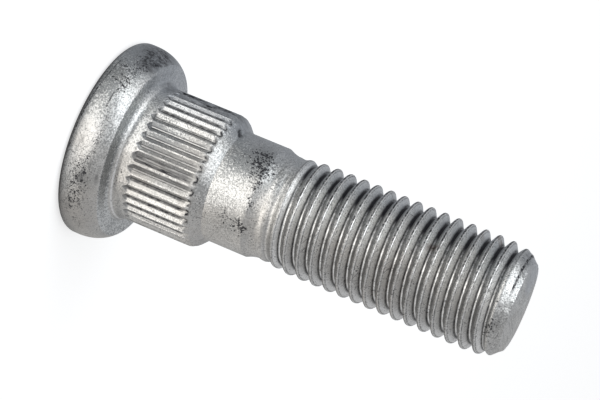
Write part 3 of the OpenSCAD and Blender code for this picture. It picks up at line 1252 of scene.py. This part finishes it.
@dataclass(frozen=True)
class PhotoCamera:
    """The photograph's view: a long lens, tilted down and rolled. Sizes are in millimetres."""

    lens: float = 152.02
    sensor_width: float = 36.0
    tilt: float = 16.051
    roll: float = 112.581
    distance: float = 257.46
    aim: tuple[float, float, float] = (-1.512, 0.0, 21.919)
    clip: tuple[float, float] = (10.0, 10000.0)

    def place(self) -> None:
        """Makes the camera and sets it as the scene's own."""
        data = bpy.data.cameras.new("photo_camera")
        data.lens = self.lens
        data.sensor_width = self.sensor_width
        data.clip_start, data.clip_end = (end * MM for end in self.clip)
        tilt, roll = math.radians(self.tilt), math.radians(self.roll)
        back = Vector((0.0, -math.cos(tilt), math.sin(tilt)))
        level = Vector((1.0, 0.0, 0.0))
        upright = Vector((0.0, math.sin(tilt), math.cos(tilt)))
        right = level * math.cos(roll) + upright * math.sin(roll)
        up = back.cross(right)
        turn = Matrix((right, up, back)).transposed().to_4x4()
        place = Vector(self.aim) * MM + back * (self.distance * MM)
        obj = bpy.data.objects.new("photo_camera", data)
        obj.matrix_world = Matrix.Translation(place) @ turn
        bpy.context.scene.collection.objects.link(obj)
        bpy.context.scene.camera = obj


@dataclass(frozen=True)
class Glow:
    """A lit sector of the floor that only the stud's polish mirrors. Sizes are in millimetres."""

    azimuth: float
    half_lit: float
    half_dark: float
    near: float
    far: float
    strength: float = 1.0
    soft: float = 2.5

    def lobe(self, x: Value, y: Value, away: Value) -> Value:
        """How brightly the sector shines at each place of the floor, given in metres."""
        turn = math.radians(self.azimuth)
        facing = (x * math.sin(turn) - y * math.cos(turn)) / away
        dark, lit = (math.cos(math.radians(a)) for a in (self.half_dark, self.half_lit))
        near, far = ((a * MM, (a + self.soft) * MM) for a in (self.near, self.far))
        reach = away.between(near, far)
        return facing.band(dark, lit) * reach * self.strength


@dataclass
class Studio:
    """A plain white floor, soft lamps and the photograph's camera."""

    camera: PhotoCamera = field(default_factory=PhotoCamera)
    lamps: tuple[Lamp, ...] = (
        Lamp("top", -58.0, 56.0, 380.0, 290.0, 380.0, 0.6, (0.95, 0.98, 1.0)),
        Lamp("side", -58.0, 17.0, 400.0, 230.0, 130.0, 0.14, (0.95, 0.99, 1.0)),
        Lamp("front", 6.0, 6.5, 420.0, 200.0, 110.0, 0.13, (1.0, 0.975, 0.94)),
    )
    world_colour: Colour = (0.95, 0.97, 1.0, 1.0)
    world_strength: float = 0.55
    floor_size: float = 6000.0
    floor_colour: Colour = (0.5, 0.5, 0.5, 1.0)
    floor_roughness: float = 0.9
    glows: tuple[Glow, ...] = (
        Glow(-3.0, 14.0, 38.0, 11.5, 19.5, 0.6),
        Glow(2.0, 51.0, 63.0, 19.5, 46.5, 1.0),
        Glow(-3.0, 13.0, 40.0, 46.5, 900.0, 0.63),
        Glow(85.0, 25.0, 75.0, 11.5, 46.5, 0.12),
        Glow(85.0, 35.0, 75.0, 46.5, 900.0, 0.21),
    )
    glow: Colour = (1.8, 1.748, 1.665, 1.0)
    unlit: Colour = (0.0, 0.0, 0.0, 1.0)
    white: Colour = (0.66, 0.66, 0.66, 1.0)

    def floor(self) -> None:
        """Lays the floor, which shows white to the camera and its glows to polished metal."""
        bpy.ops.object.select_all(action="DESELECT")
        bpy.ops.mesh.primitive_plane_add(size=self.floor_size * MM)
        obj = bpy.context.object
        obj.name = "floor"
        recipe = Recipe("white_floor")
        recipe.finish("Base Color", self.floor_colour)
        recipe.finish("Roughness", self.floor_roughness)
        path = recipe.node("ShaderNodeLightPath")
        x, y, _ = recipe.parts(recipe.node("ShaderNodeTexCoord").outputs["Object"])
        away = (x * x + y * y).join("SQRT")
        lobes = reduce(add, (glow.lobe(x, y, away) for glow in self.glows))
        glossy = Value(recipe.tree, path.outputs["Is Glossy Ray"])
        colour = recipe.blend(lobes * glossy, self.unlit, self.glow)
        colour = recipe.blend(path.outputs["Is Camera Ray"], colour, self.white)
        recipe.finish("Emission Color", colour)
        recipe.finish("Emission Strength", 1.0)
        obj.data.materials.append(recipe.material)

    def world(self) -> None:
        """Fills the room with an even soft light."""
        world = bpy.data.worlds.new("studio")
        world.use_nodes = True
        back = world.node_tree.nodes["Background"]
        back.inputs["Color"].default_value = self.world_colour
        back.inputs["Strength"].default_value = self.world_strength
        bpy.context.scene.world = world

    def set_up(self) -> None:
        """Puts up the floor, the lamps and the camera."""
        self.floor()
        self.world()
        low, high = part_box("wheel_stud")
        for lamp in self.lamps:
            lamp.place((low + high) / 2)
        self.camera.place()
        bpy.context.scene.view_settings.view_transform = "Standard"


def main() -> None:
    """Builds the stud and its studio."""
    logging.basicConfig(level=logging.INFO)
    stud = WheelStud()
    obj = stud.build()
    stud.dress(obj)
    LOG.info("%s: %d faces", obj.name, len(obj.data.polygons))
    Studio().set_up()


if __name__ == "__main__":
    main()
